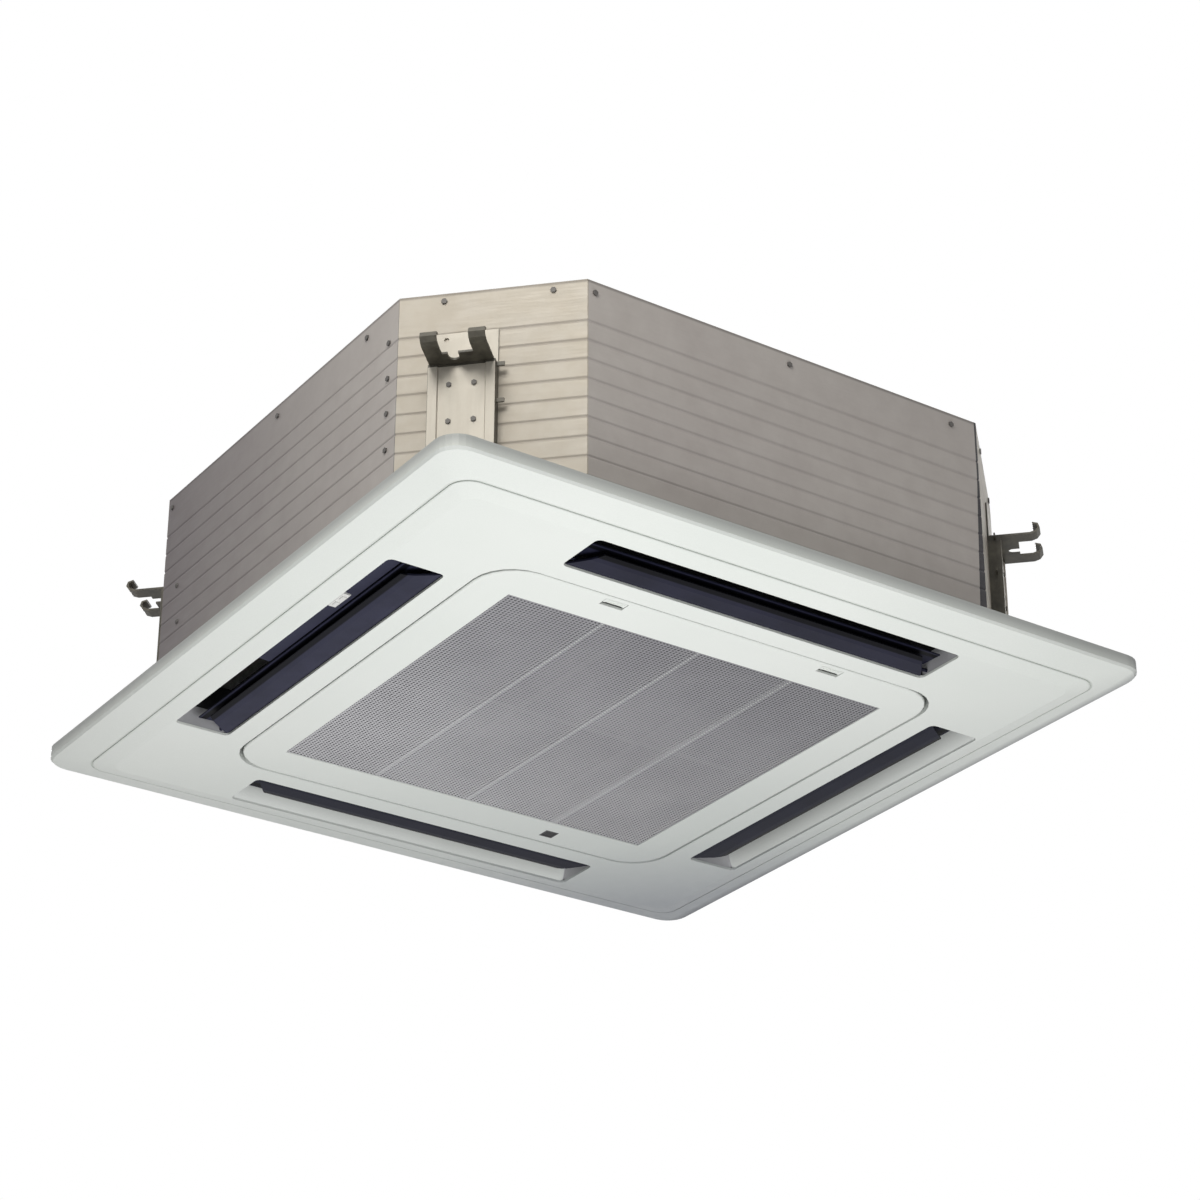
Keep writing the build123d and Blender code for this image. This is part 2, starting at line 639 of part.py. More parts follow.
def bracket_rivets():
    rivets = []
    start = -BODY_DIAGONAL - CHANNEL_DEPTH + CHANNEL_STEP
    for z in RIVET_Z:
        for x in (-BRACKET_ALONG - 14, -BRACKET_ALONG + 14):
            rivet = prism(6, 3.2, (x, start, z), (x, start - 1.6, z))
            rivets.append(rivet.rotate(Axis.Z, -45))
    rivets += [mirror(r, Plane.YZ) for r in rivets]
    rivets += [mirror(r, Plane.XZ) for r in rivets]
    return group([at_casing(r) for r in rivets])


def casing_insulation():
    ring = at_casing(slab(octagon(3.2) - octagon(9), FRAME_TOP_Z, CASING_TOP_Z - 18))
    return ring - service_holes()


def service_holes():
    """What is cut from the (+X, +Y) chamfer for the pipes."""
    holes = pin_hole(DRAIN_R - 1, *chamfer_line(*DRAIN_AT, -40, 10))
    holes += prism(PIN_SIDES, LIQUID_R + 3, *chamfer_line(*LIQUID_AT, -40, 10))
    holes += prism(PIN_SIDES, GAS_R + 3, *chamfer_line(*GAS_AT, -40, 10))
    return holes + prism(PIN_SIDES, CABLE_R + 2.5, *chamfer_line(*CABLE_AT, -40, 10))


# ---- drain tray, coil and bell mouth ---------------------------------------------------------


def outlet_frame():
    """The foam frame that fills the foot of the casing and carries the four air ducts."""
    frame = at_casing(slab(octagon(3.2), PAN_LOW_Z, FRAME_TOP_Z))
    frame -= slab(chamfered(TRAY_OUT, TRAY_LEG), 0, PAN_TOP_Z)
    end = SLOT_HALF + 0.5
    for turns in range(4):
        duct = block(-end, end, -(SLOT_OUT - 6), -DUCT_IN, 0, PAN_TOP_Z)
        frame -= quarter(duct, turns)
    return frame


def drain_tray():
    """The foam tray ring under the coil: a trough, and a step below for the bell mouth."""
    tray = slab(chamfered(TRAY_OUT, TRAY_LEG), PAN_LOW_Z, PAN_TOP_Z)
    tray -= slab(chamfered(TRAY_IN, TRAY_IN_LEG), 0, PAN_TOP_Z + 1)
    tray -= slab(chamfered(TRAY_LEDGE, BELL_LEG), 0, BELL_Z + BELL_THICK)
    trough = chamfered(TRAY_OUT - 8, TRAY_LEG) - chamfered(TRAY_IN + 12, TRAY_IN_LEG + 8)
    tray -= slab(trough, TROUGH_FLOOR_Z, PAN_TOP_Z + 1)
    return tray - control_box_space()


def coil_fins():
    """The fin pack: a wall of tube rows with fins across it, open at the (+X, +Y) corner."""
    middle = (COIL_IN + COIL_OUT) / 2
    outline = square(middle + COIL_WALL / 2, 50, 3) - square(middle - COIL_WALL / 2, 50 - COIL_WALL, 3)
    for turns in range(4):
        for index in range(-FINS_EACH_WAY, FINS_EACH_WAY + 1):
            fin = Pos(index * FIN_PITCH, -middle) * Rectangle(1.2, COIL_OUT - COIL_IN)
            outline += fin.rotate(Axis.Z, 90 * turns)
    outline -= Pos(COIL_GAP + 100, COIL_GAP + 100) * Rectangle(200, 200)
    return slab(outline, TROUGH_FLOOR_Z, COIL_TOP_Z)


def coil_end_plates():
    far = COIL_GAP + 1.5
    plate = block(COIL_GAP, far, COIL_IN - 2, COIL_OUT + 2, TROUGH_FLOOR_Z, COIL_TOP_Z)
    other = block(COIL_IN - 2, COIL_OUT + 2, COIL_GAP, far, TROUGH_FLOOR_Z, COIL_TOP_Z)
    return group([plate, other])


def coil_bends():
    """Return bends standing on the coil's end plates."""
    start = COIL_GAP + 1.5
    outside = [(0, -16), (9, -16), (16, -9), (16, 9), (9, 16), (0, 16)]
    inside = [(0, 8), (8, 6), (8, -6), (0, -8)]
    outline = make_face(Polyline(*outside, *inside, close=True))
    bends = []
    for index in range(4):
        plane = Plane(origin=(start, COIL_IN + 16, 110 + index * 50), x_dir=(1, 0, 0), z_dir=(0, -1, 0))
        bend = extrude(plane * outline, 8)
        bends += [bend, mirror(bend, Plane(origin=(0, 0, 0), z_dir=(1, -1, 0)))]
    return group(bends)


def bell_mouth():
    """A square plate whose middle curls up into the fan's eye."""
    plate = slab(chamfered(BELL_HALF, BELL_LEG), BELL_Z, BELL_Z + BELL_THICK)
    plate -= slab(RegularPolygon(ENTRY_R - 1, ROUND_SIDES, rotation=180 / ROUND_SIDES), 0, THROAT_TOP_Z)
    curl = [(ENTRY_R, BELL_Z), (THROAT_R + 9, BELL_Z + 9), (THROAT_R, THROAT_TOP_Z)]
    back = [(r + BELL_THICK, z + 2) for r, z in curl]
    return plate + turned(curl + back[::-1])


# ---- fan and motor ---------------------------------------------------------------------------


def turbo_fan():
    """Hub plate with a dome for the motor, shroud ring and backward-curved blades."""
    rim_z = FAN_TOP_Z - FAN_WALL
    hub = turned(
        [
            (FAN_R, FAN_TOP_Z),
            (FAN_R, rim_z),
            (102, rim_z),
            (58, HUB_LOW_Z),
            (3, HUB_LOW_Z),
            (3, HUB_LOW_Z + 4),
            (56, HUB_LOW_Z + 4),
            (100, FAN_TOP_Z),
        ]
    )
    hub -= round_hole(SHAFT_R, (0, 0, HUB_LOW_Z - 1), (0, 0, HUB_LOW_Z + 5))
    flare = [(FAN_EYE_R, FAN_LOW_Z), (FAN_EYE_R, FAN_LOW_Z + 12), (FAN_R, FAN_LOW_Z + 42)]
    outer_flare = [(FAN_R, FAN_LOW_Z + 39), (FAN_EYE_R + FAN_WALL, FAN_LOW_Z + 11)]
    outer_flare.append((FAN_EYE_R + FAN_WALL, FAN_LOW_Z))
    shroud = turned(flare + outer_flare)
    between = turned(
        [
            (FAN_EYE_R + 1, FAN_LOW_Z + 11),
            (FAN_R - 1, FAN_LOW_Z + 40),
            (FAN_R - 1, rim_z + 1),
            (103, rim_z + 1),
            (103, FAN_LOW_Z + 11),
        ]
    )
    blade = make_face(Polyline(*blade_line(0), *blade_line(4.5)[::-1], close=True))
    blade = slab(blade, FAN_LOW_Z + 11, FAN_TOP_Z) & between
    fan = hub + shroud
    for index in range(BLADE_COUNT):
        fan += blade.rotate(Axis.Z, 360 * index / BLADE_COUNT)
    return fan


def blade_line(offset):
    """Points on one face of a blade, an arc that leans back from the fan's turning."""
    points = []
    for step in range(6):
        angle = radians(-88 + 11 * step)
        points.append((104 + BLADE_CURVE_R * cos(angle), offset + BLADE_CURVE_R * (1 + sin(angle))))
    return points


def fan_motor():
    """The motor can with its mounting flange, hung from the top plate."""
    seat_z = CASING_TOP_Z - SHEET - 8
    can = turned([(3, 214), (48, 214), (MOTOR_R, 250), (MOTOR_R, seat_z), (3, seat_z)])
    can -= round_hole(SHAFT_R + PIN_GAP, (0, 0, 210), (0, 0, seat_z))
    for index in range(3):
        arm = block(MOTOR_R - 4, BUSH_CIRCLE_R + 11, -11, 11, seat_z - 3, seat_z)
        can += arm.rotate(Axis.Z, 90 + 120 * index)
    return can


def motor_bushes():
    low = CASING_TOP_Z - SHEET - 8
    bush = prism(8, 9.0, (BUSH_CIRCLE_R, 0, low), (BUSH_CIRCLE_R, 0, CASING_TOP_Z - SHEET))
    return group([bush.rotate(Axis.Z, 90 + 120 * index) for index in range(3)])


def motor_shaft():
    return rod(SHAFT_R, (0, 0, HUB_LOW_Z), (0, 0, CASING_TOP_Z - SHEET - 10))


def fan_nut():
    """A closed-end nut under the hub."""
    return prism(6, 11, (0, 0, HUB_LOW_Z - 10), (0, 0, HUB_LOW_Z))


# ---- drainage and services -------------------------------------------------------------------


def drain_pump():
    """The lift pump: motor can, impeller housing and a bracket up to the top plate."""
    x, y = PUMP_XY
    body = prism(PIN_SIDES, 21, (x, y, 128), (x, y, 172))
    body += prism(PUMP_SIDES, PUMP_R, (x, y, 94), (x, y, 130))
    body += prism(8, 7, (x, y, TROUGH_FLOOR_Z), (x, y, 95))
    body += block(x - 2, x + 2, y - 16, y + 16, 170, CASING_TOP_Z - SHEET)
    return body


def drain_pipe():
    """From the pump's housing out through the chamfer to a plain spigot for a 32 mm hose."""
    x, y = PUMP_XY
    pipe = prism(PIN_SIDES, DRAIN_R - 1, *chamfer_line(*DRAIN_AT, -120, 3))
    pipe -= prism(PUMP_SIDES, PUMP_R, (x, y, 90), (x, y, 135))
    pipe = pipe.solids().sort_by(Axis.X)[-1]
    pipe += rod(DRAIN_R, *chamfer_line(*DRAIN_AT, 2, 34))
    return pipe - rod(DRAIN_R - 3, *chamfer_line(*DRAIN_AT, -70, 35))


def cable_grommet():
    """A rubber ring that the supply cable enters by."""
    ring = prism(PIN_SIDES, CABLE_R + 2.5, *chamfer_line(*CABLE_AT, -7, 3))
    ring += prism(PIN_SIDES, CABLE_R + 5, *chamfer_line(*CABLE_AT, 0, 3))
    return ring - prism(PIN_SIDES, CABLE_R, *chamfer_line(*CABLE_AT, -20, 10))


def float_stem():
    x, y = FLOAT_XY
    stem = prism(PIN_SIDES, STEM_R, (x, y, TROUGH_FLOOR_Z), (x, y, PAN_TOP_Z + 40))
    stem += prism(PIN_SIDES, 7.0, (x, y, TROUGH_FLOOR_Z), (x, y, TROUGH_FLOOR_Z + 3))
    stem += block(x - 8, x + 8, y - 8, y + 8, PAN_TOP_Z + 40, PAN_TOP_Z + 46)
    stem += block(x - 2, x + 2, y - 8, y + 8, PAN_TOP_Z + 46, CASING_TOP_Z - SHEET)
    return stem


def float_body():
    x, y = FLOAT_XY
    low = TROUGH_FLOOR_Z + 4
    return prism(PIN_SIDES, 12, (x, y, low), (x, y, low + 20)) - pin_hole(STEM_R, (x, y, 0), (x, y, 99))


def control_box():
    x0, x1 = CONTROL_X
    y0, y1 = CONTROL_Y
    tray = block(x0, x1, y0, y1, 17, CONTROL_TOP_Z)
    return tray - block(x0 + SHEET, x1 - SHEET, y0 + SHEET, y1 - SHEET, 16, CONTROL_TOP_Z - SHEET)


def control_box_space():
    x0, x1 = CONTROL_X
    y0, y1 = CONTROL_Y
    return block(x0, x1, y0, y1, 0, CONTROL_TOP_Z)


def control_board():
    x0, x1 = CONTROL_X
    y0, y1 = CONTROL_Y
    board = block(x0 + 8, x1 - 70, y0 + 5, y1 - 5, 49, 51)
    for x in (x0 + 18, x1 - 90):
        board += block(x, x + 8, y0 + 15, y0 + 28, 50, CONTROL_TOP_Z - SHEET)
    board += block(x0 + 40, x0 + 90, y0 + 9, y0 + 36, 32, 49)
    for index in range(3):
        x = x0 + 120 + index * 34
        board += prism(8, 9, (x, y0 + 22, 30), (x, y0 + 22, 49))
    return board


def terminal_block():
    x1 = CONTROL_X[1]
    y0 = CONTROL_Y[0]
    body = block(x1 - 60, x1 - 14, y0 + 10, y0 + 34, 38, CONTROL_TOP_Z - SHEET)
    for index in range(5):
        x = x1 - 56 + index * 9
        body -= block(x, x + 6, y0 + 13, y0 + 31, 37, 42)
    return body


def control_box_cover():
    x0, x1 = CONTROL_X
    y0, y1 = CONTROL_Y
    cover = block(x0 - 2, x1 + 2, y0, y1 + 2, 15.5, 17)
    for index in range(4):
        x = x0 + 60 + index * 60
        cover -= block(x, x + 24, y0 + 25, y0 + 28, 15, 18)
    return cover


def chamfer_line(along, z, near, far):
    """Two points on a line square to the (+X, +Y) chamfer, near and far from its wall."""
    ends = []
    for reach in (SERVICE_DIAGONAL + near, SERVICE_DIAGONAL + far):
        ends.append(((reach - along) / ROOT_2, (reach + along) / ROOT_2, z))
    return ends


def flare_union(along, z, pipe_r, thread_r, hexagon_r):
    """A pipe stub through the wall with a hexagon and a threaded flare end."""
    body = prism(PIN_SIDES, pipe_r, *chamfer_line(along, z, -40, COVER_THICK))
    body += prism(6, hexagon_r, *chamfer_line(along, z, COVER_THICK, 14))
    body += rod(thread_r, *chamfer_line(along, z, 14, 28))
    return body


def pipe_cover():
    """The plate over the pipe cut-out of the (+X, +Y) chamfer."""
    middle = (LIQUID_AT[0] + GAS_AT[0]) / 2
    plate = Pos(middle, LIQUID_AT[1]) * Rectangle(68, 56)
    plane = Plane(origin=(0, -SERVICE_DIAGONAL, 0), x_dir=(1, 0, 0), z_dir=(0, -1, 0))
    cover = extrude(plane * plate, COVER_THICK).rotate(Axis.Z, 135)
    cover -= prism(PIN_SIDES, LIQUID_R, *chamfer_line(*LIQUID_AT, -5, 5))
    return cover - prism(PIN_SIDES, GAS_R, *chamfer_line(*GAS_AT, -5, 5))


def main():
    os.makedirs("parts", exist_ok=True)
    save("panel_face", panel_face())
    save("panel_screws", panel_screws())
    for turns, side in enumerate(SIDES):
        save(f"outlet_duct_{side}", quarter(outlet_duct(), turns))
        save(f"louver_{side}", quarter(louver(), turns))
        save(f"louver_motor_{side}", quarter(louver_motor(), turns))
        sheet = at_casing(quarter(casing_panel(), turns))
        save(f"casing_panel_{side}", sheet - service_holes() if side == "back" else sheet)
    save("outlet_seals", group([quarter(outlet_seal(), turns) for turns in range(4)]))
    save("grille_frame", grille_frame())
    save("grille_mesh", grille_mesh())
    save("filter_frame", filter_frame())
    save("filter_net", filter_net())
    save("receiver_window", receiver_window())
    save("grille_hinge_pins", group([hinge_pin(-HINGE_X), hinge_pin(HINGE_X)]))
    save("latch_left", latch(-LATCH_X))
    save("latch_right", latch(LATCH_X))
    save("casing_top", casing_top())
    save("casing_screws", casing_screws())
    save("hanger_bracket_front_left", placed_bracket(False, False))
    save("hanger_bracket_front_right", placed_bracket(True, False))
    save("hanger_bracket_back_left", placed_bracket(False, True))
    save("hanger_bracket_back_right", placed_bracket(True, True))
    save("bracket_rivets", bracket_rivets())
    save("casing_insulation", casing_insulation())
    save("outlet_frame", outlet_frame())
    save("drain_tray", drain_tray())
    save("coil_fins", coil_fins())
    save("coil_end_plates", coil_end_plates())
    save("coil_bends", coil_bends())
    save("bell_mouth", bell_mouth())
    save("turbo_fan", turbo_fan())
    save("fan_nut", fan_nut())
    save("motor_shaft", motor_shaft())
    save("fan_motor", fan_motor())
    save("motor_bushes", motor_bushes())
    save("drain_pump", drain_pump())
    save("drain_pipe", drain_pipe())
    save("float_stem", float_stem())
    save("float_body", float_body())
    save("control_box", control_box())
    save("control_box_cover", control_box_cover())
    save("control_board", control_board())
    save("terminal_block", terminal_block())
    save("liquid_union", flare_union(*LIQUID_AT, LIQUID_R, 7.9, 10.0))
    save("gas_union", flare_union(*GAS_AT, GAS_R, 11.0, 14.0))
    save("cable_grommet", cable_grommet())
    save("pipe_cover", pipe_cover())


main()
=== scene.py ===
import json
import math

import bpy
from mathutils import Matrix, Vector


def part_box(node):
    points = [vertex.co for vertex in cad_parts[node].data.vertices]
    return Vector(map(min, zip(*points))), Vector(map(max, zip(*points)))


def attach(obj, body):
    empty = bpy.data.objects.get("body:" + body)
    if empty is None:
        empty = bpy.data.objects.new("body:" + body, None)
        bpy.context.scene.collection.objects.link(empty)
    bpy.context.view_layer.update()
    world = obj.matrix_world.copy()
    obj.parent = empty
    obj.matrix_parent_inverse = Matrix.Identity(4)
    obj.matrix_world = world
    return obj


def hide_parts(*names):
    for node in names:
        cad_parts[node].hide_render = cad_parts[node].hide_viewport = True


# A ceiling cassette air conditioner seen from below, in metres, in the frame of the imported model:
# the room-side face of its panel is at z = 0, and +Z points up to the ceiling.

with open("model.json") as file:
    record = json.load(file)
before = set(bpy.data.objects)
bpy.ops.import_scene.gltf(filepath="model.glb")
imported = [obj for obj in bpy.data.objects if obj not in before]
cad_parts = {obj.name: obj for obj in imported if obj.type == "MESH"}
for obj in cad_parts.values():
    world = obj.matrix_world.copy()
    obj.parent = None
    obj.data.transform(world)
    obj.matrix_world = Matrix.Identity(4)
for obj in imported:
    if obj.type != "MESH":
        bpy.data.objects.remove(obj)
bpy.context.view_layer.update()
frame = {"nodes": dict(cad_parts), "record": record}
SIDES = ("front", "right", "back", "left")
MM = 0.001
WHITE = (1.0, 1.0, 1.0)


# ---- camera, floor and light -------------------------------------------------------------------

CAMERA_AT = Vector((-1.8957, -2.8439, -1.5938))
CAMERA_LOOK = Vector((0.4981, 0.7352, 0.4597))
CAMERA_RIGHT = Vector((0.8279, -0.5609, 0.0))
CAMERA_LENS = 94.8
SENSOR_WIDTH = 36.0

FLOOR_Z = -2.4
FLOOR_HALF = 300.0
FLOOR_GLOW = 0.95
FLOOR_GLOW_SHARE = 0.8
WORLD_LEVEL = 0.10

LAMP_TARGET = Vector((-0.05, -0.05, 0.08))
WARM = (1.0, 0.98, 0.93)
# name, place, size, energy, colour
LAMPS = (
    ("lamp_below", (-0.48, -0.28, -1.11), 0.8, 7.4, WHITE),
    ("lamp_above", (-1.20, -1.10, 1.10), 0.8, 14.6, WARM),
    ("lamp_front", (0.05, -1.14, -1.23), 0.9, 9.8, WHITE),
    ("lamp_left", (-2.40, -0.60, 0.20), 1.0, 5.2, WHITE),
    ("lamp_back", (2.3, 2.5, 1.9), 1.8, 90, WHITE),
    ("lamp_far", (0.50, 3.0, 1.8), 1.4, 60, WHITE),
)


def add_camera():
    data = bpy.data.cameras.new("camera")
    data.lens = CAMERA_LENS
    data.sensor_width = SENSOR_WIDTH
    camera = bpy.data.objects.new("camera", data)
    bpy.context.scene.collection.objects.link(camera)
    back = -CAMERA_LOOK.normalized()
    right = (CAMERA_RIGHT - CAMERA_RIGHT.dot(back) * back).normalized()
    up = back.cross(right)
    turn = Matrix((right, up, back)).transposed().to_4x4()
    camera.matrix_world = Matrix.Translation(CAMERA_AT) @ turn
    bpy.context.scene.camera = camera


def add_lamp(name, place, size, energy, colour):
    """A square soft lamp, turned toward the unit and hidden from the camera."""
    data = bpy.data.lights.new(name, "AREA")
    data.shape = "SQUARE"
    data.size = size
    data.energy = energy
    data.color = colour
    light = bpy.data.objects.new(name, data)
    bpy.context.scene.collection.objects.link(light)
    light.location = place
    toward = LAMP_TARGET - Vector(place)
    light.rotation_mode = "QUATERNION"
    light.rotation_quaternion = toward.to_track_quat("-Z", "Y")
    light.visible_camera = False


def seen_directly(tree):
    """1 for rays from the camera or off a glossy or clear surface, 0 for rays that gather light."""
    path = tree.nodes.new("ShaderNodeLightPath")
    total = path.outputs["Is Camera Ray"]
    for name in ("Is Glossy Ray", "Is Transmission Ray"):
        node = tree.nodes.new("ShaderNodeMath")
        node.operation = "MAXIMUM"
        tree.links.new(total, node.inputs[0])
        tree.links.new(path.outputs[name], node.inputs[1])
        total = node.outputs[0]
    return total


def add_world():
    """White where it is seen, a plain even grey to everything that is lit."""
    world = bpy.data.worlds.new("studio")
    bpy.context.scene.world = world
    world.use_nodes = True
    tree = world.node_tree
    tree.nodes.clear()
    out = tree.nodes.new("ShaderNodeOutputWorld")
    mix = tree.nodes.new("ShaderNodeMixShader")
    tree.links.new(seen_directly(tree), mix.inputs[0])
    for index, strength in ((1, WORLD_LEVEL), (2, 1.0)):
        background = tree.nodes.new("ShaderNodeBackground")
        background.inputs["Color"].default_value = (*WHITE, 1.0)
        background.inputs["Strength"].default_value = strength
        tree.links.new(background.outputs[0], mix.inputs[index])
    tree.links.new(mix.outputs[0], out.inputs["Surface"])


def floor_pale():
    """A pale grey floor that stays pale where it is seen, and still takes a soft shadow."""
    material = finish("floor_pale", (0.46, 0.46, 0.46), (0.50, 0.50, 0.50), 1.5, 0.8)
    tree = material.node_tree
    glow = tree.nodes.new("ShaderNodeEmission")
    glow.inputs["Color"].default_value = (FLOOR_GLOW, FLOOR_GLOW, FLOOR_GLOW, 1.0)
    mix = tree.nodes.new("ShaderNodeMixShader")
    share = tree.nodes.new("ShaderNodeMath")
    share.operation = "MULTIPLY"
    share.inputs[1].default_value = FLOOR_GLOW_SHARE
    tree.links.new(seen_directly(tree), share.inputs[0])
    tree.links.new(share.outputs[0], mix.inputs[0])
    tree.links.new(tree.nodes["Principled BSDF"].outputs[0], mix.inputs[1])
    tree.links.new(glow.outputs[0], mix.inputs[2])
    tree.links.new(mix.outputs[0], tree.nodes["Material Output"].inputs["Surface"])
    return material


def add_floor():
    mesh = bpy.data.meshes.new("floor")
    signs = ((-1, -1), (1, -1), (1, 1), (-1, 1))
    corners = [(a * FLOOR_HALF, b * FLOOR_HALF, FLOOR_Z) for a, b in signs]
    mesh.from_pydata(corners, [], [(0, 1, 2, 3)])
    floor = bpy.data.objects.new("floor", mesh)
    bpy.context.scene.collection.objects.link(floor)
    floor.data.materials.append(floor_pale())


# ---- materials -----------------------------------------------------------------------------------


class Shader:
    """A node material in the making: small calls that add and join its nodes."""

    def __init__(self, name):
        self.material = bpy.data.materials.new(name)
        self.material.use_nodes = True
        self.tree = self.material.node_tree
        self.shader = self.tree.nodes["Principled BSDF"]
        coords = self.add("ShaderNodeTexCoord")
        self.place = coords.outputs["Object"]

    def add(self, kind, **values):
        node = self.tree.nodes.new(kind)
        for key, value in values.items():
            setattr(node, key, value)
        return node

    def link(self, source, target):
        self.tree.links.new(source, target)

    def feed(self, value, target):
        """Gives an input another node's output, or a plain number."""
        if isinstance(value, bpy.types.NodeSocket):
            self.link(value, target)
        else:
            target.default_value = value

    def stretched(self, scale):
        """The object's coordinates, in metres, drawn out by a factor along each axis."""
        node = self.add("ShaderNodeMapping")
        node.inputs["Scale"].default_value = scale
        self.link(self.place, node.inputs["Vector"])
        return node.outputs[0]

    def noise(self, scale, detail=3.0, roughness=0.55, place=None):
        node = self.add("ShaderNodeTexNoise")
        node.inputs["Scale"].default_value = scale
        node.inputs["Detail"].default_value = detail
        node.inputs["Roughness"].default_value = roughness
        self.link(place or self.place, node.inputs["Vector"])
        return node.outputs["Fac"]

    def cells(self, scale, feature="F1", place=None):
        node = self.add("ShaderNodeTexVoronoi", feature=feature)
        node.inputs["Scale"].default_value = scale
        self.link(place or self.place, node.inputs["Vector"])
        return node.outputs["Distance"]

    def bands(self, scale, direction):
        node = self.add("ShaderNodeTexWave", bands_direction=direction)
        node.inputs["Scale"].default_value = scale
        self.link(self.place, node.inputs["Vector"])
        return node.outputs["Fac"]

    def ramp(self, source, low, high, start=0.35, end=0.65):
        """A colour that goes from low to high as source goes from start to end."""
        node = self.add("ShaderNodeValToRGB")
        first, last = node.color_ramp.elements
        first.color = (*low, 1.0)
        last.color = (*high, 1.0)
        self.link(self.span(source, 0.0, 1.0, start, end), node.inputs[0])
        return node.outputs[0]

    def span(self, source, low, high, start=0.3, end=0.7):
        """A number that goes from low to high as source goes from start to end."""
        node = self.add("ShaderNodeMapRange")
        node.inputs["From Min"].default_value = start
        node.inputs["From Max"].default_value = end
        node.inputs["To Min"].default_value = low
        node.inputs["To Max"].default_value = high
        self.link(source, node.inputs["Value"])
        return node.outputs[0]

    def over(self, base, top, amount=1.0, blend="MULTIPLY"):
        """One colour laid on another by an amount from 0 to 1, which may be a socket."""
        node = self.add("ShaderNodeMix", data_type="RGBA", blend_type=blend)
        self.feed(amount, node.inputs[0])
        self.link(base, node.inputs[6])
        self.link(top, node.inputs[7])
        return node.outputs[2]

    def shade(self, base, source, low, high, start, end):
        """A colour times a tone that goes from low to high as source goes from start to end."""
        return self.over(base, self.ramp(source, low, high, start, end))

    def maths(self, operation, first, second=0.0):
        """One sum on two numbers, each a socket or a plain number."""
        node = self.add("ShaderNodeMath", operation=operation)
        self.feed(first, node.inputs[0])
        self.feed(second, node.inputs[1])
        return node.outputs[0]

    def apart(self, source, value):
        """How far a number lies from a value, to either side."""
        return self.maths("ABSOLUTE", self.maths("SUBTRACT", source, value))

    def vectors(self, operation, first, second=(0.0, 0.0, 0.0)):
        node = self.add("ShaderNodeVectorMath", operation=operation)
        self.link(first, node.inputs[0])
        node.inputs[1].default_value = second
        return node.outputs["Value" if operation == "LENGTH" else "Vector"]

    def axes(self, place=None):
        """The x, y and z of a place."""
        node = self.add("ShaderNodeSeparateXYZ")
        self.link(place or self.place, node.inputs[0])
        return node.outputs

    def turned(self, turns, shift=0.0):
        """The object's coordinates about a shifted centre, turned so that one side lies at -Y."""
        node = self.add("ShaderNodeMapping", vector_type="TEXTURE")
        node.inputs["Location"].default_value = (shift, shift, 0)
        node.inputs["Rotation"].default_value = (0, 0, math.radians(90 * turns))
        self.link(self.place, node.inputs["Vector"])
        return node.outputs[0]

    def off_square(self, half, radius):
        """How far a place lies outside a square with rounded corners about the Z axis, in metres."""
        inner = half - radius
        place = self.vectors("ABSOLUTE", self.place)
        place = self.vectors("SUBTRACT", place, (inner, inner, 0))
        place = self.vectors("MAXIMUM", place)
        place = self.vectors("MULTIPLY", place, (1, 1, 0))
        return self.maths("SUBTRACT", self.vectors("LENGTH", place), radius)

    def colour(self, source):
        self.link(source, self.shader.inputs["Base Color"])

    def rough(self, source):
        self.link(source, self.shader.inputs["Roughness"])

    def bump(self, height, strength, distance):
        """Adds a relief, distance metres high, to what the shader already has."""
        node = self.add("ShaderNodeBump")
        node.inputs["Strength"].default_value = strength
        node.inputs["Distance"].default_value = distance
        self.link(height, node.inputs["Height"])
        normal = self.shader.inputs["Normal"]
        if normal.is_linked:
            self.link(normal.links[0].from_socket, node.inputs["Normal"])
        self.link(node.outputs[0], normal)

    def set(self, **values):
        for key, value in values.items():
            self.shader.inputs[key.replace("_", " ")].default_value = value


def finish(name, low, high, scale, roughness, grain=900.0):
    """A plain moulded or coated surface: slow colour change, fine grain, uneven sheen."""
    sheen = 0.04
    s = Shader(name)
    slow = s.noise(scale)
    fine = s.noise(grain, detail=4.0)
    s.colour(s.ramp(slow, low, high))
    s.rough(s.span(fine, roughness - sheen, roughness + sheen))
    s.bump(fine, 0.5, 0.03 * MM)
    return s.material


PANEL_HALF = 475.0 * MM
PANEL_CORNER = 28.0 * MM
GROOVE_HALF = 436.0 * MM
GROOVE_CORNER = 25.0 * MM
WINDOW_X = 143.0 * MM
WINDOW_Y = 282.0 * MM


